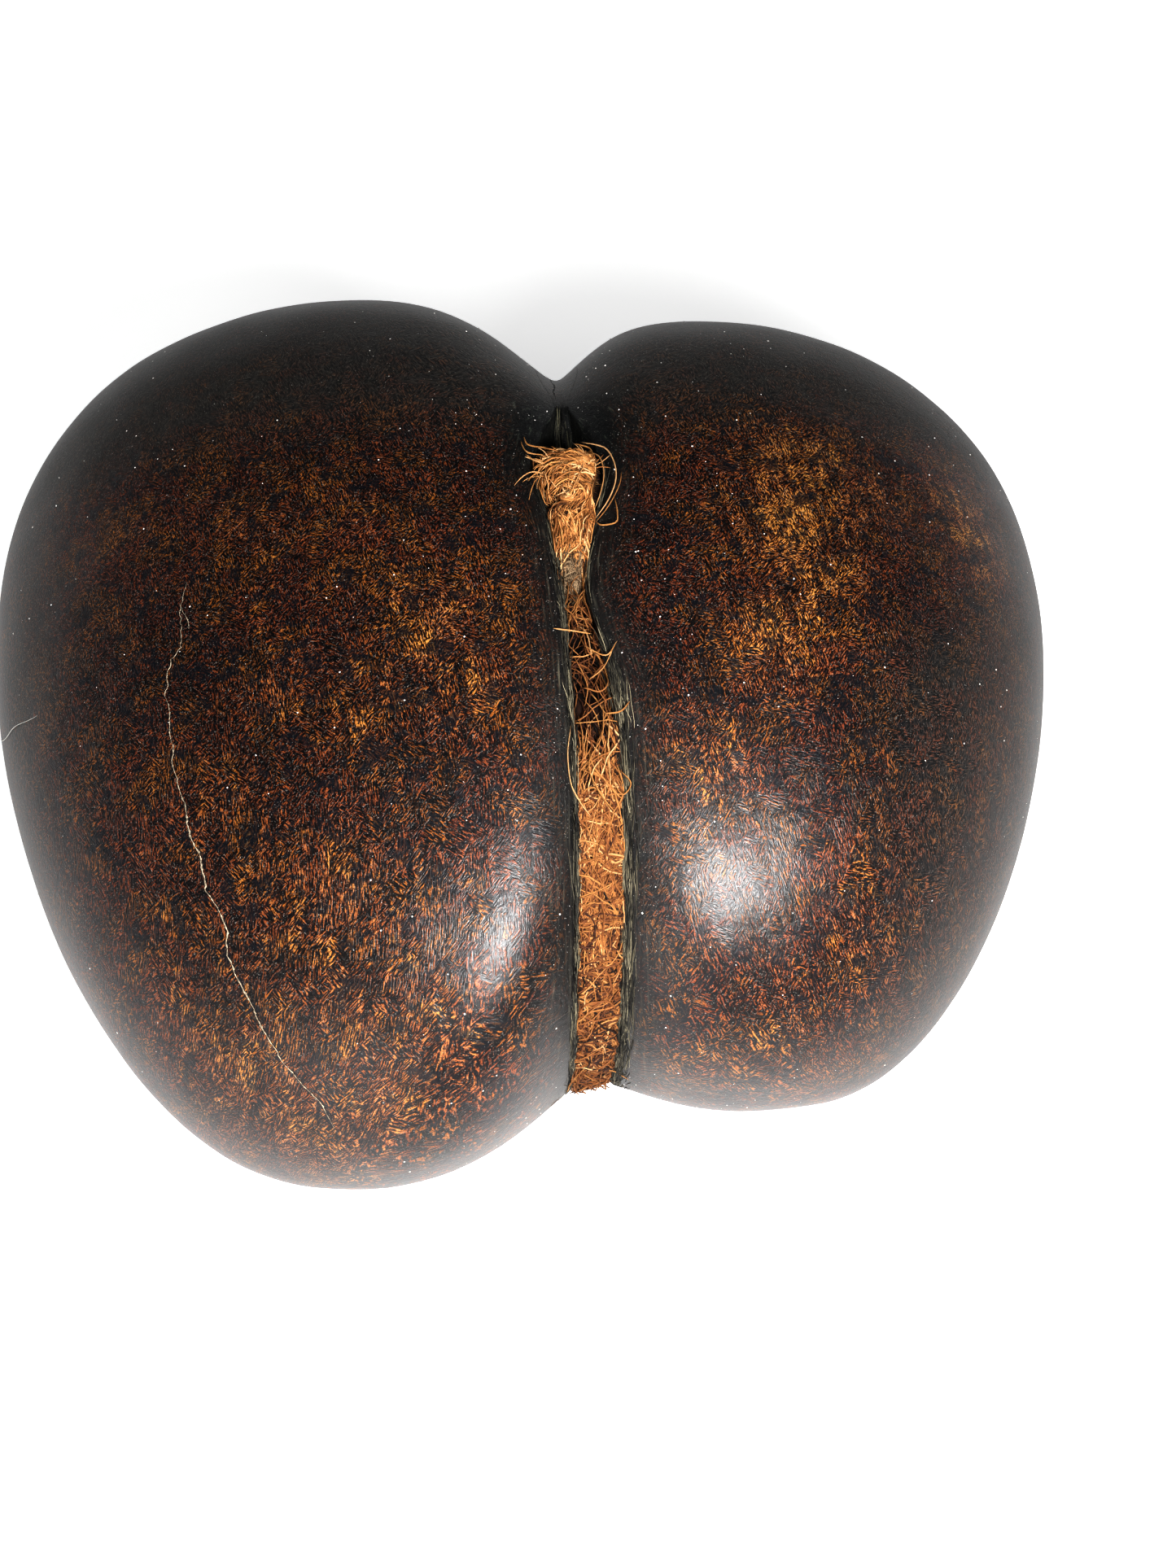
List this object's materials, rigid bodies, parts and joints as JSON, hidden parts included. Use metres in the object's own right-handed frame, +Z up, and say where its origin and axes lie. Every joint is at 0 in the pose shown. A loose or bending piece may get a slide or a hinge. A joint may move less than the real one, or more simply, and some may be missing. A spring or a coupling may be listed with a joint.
{
  "type": "coco de mer nut",
  "caption": "Two-lobed coco de mer palm nut with a polished dark shell, lying on its belly, with coir husk fibre left in the groove between its lobes.",
  "frame": {"origin": "under the middle of the nut's outline, on the surface that it rests on", "axes": "+X across the two lobes, towards the smaller one; +Y from the lobed end, where the groove is open, towards the base end; +Z up, out of the back"},
  "size_m": [0.2994, 0.2678, 0.1645],
  "materials": {
    "polished_nutshell": "polished",
    "coir_fibre": "rough"
  },
  "bodies": {
    "root": {"nut_shell": "polished_nutshell", "husk_fibre": "coir_fibre"}
  },
  "joints": []
}
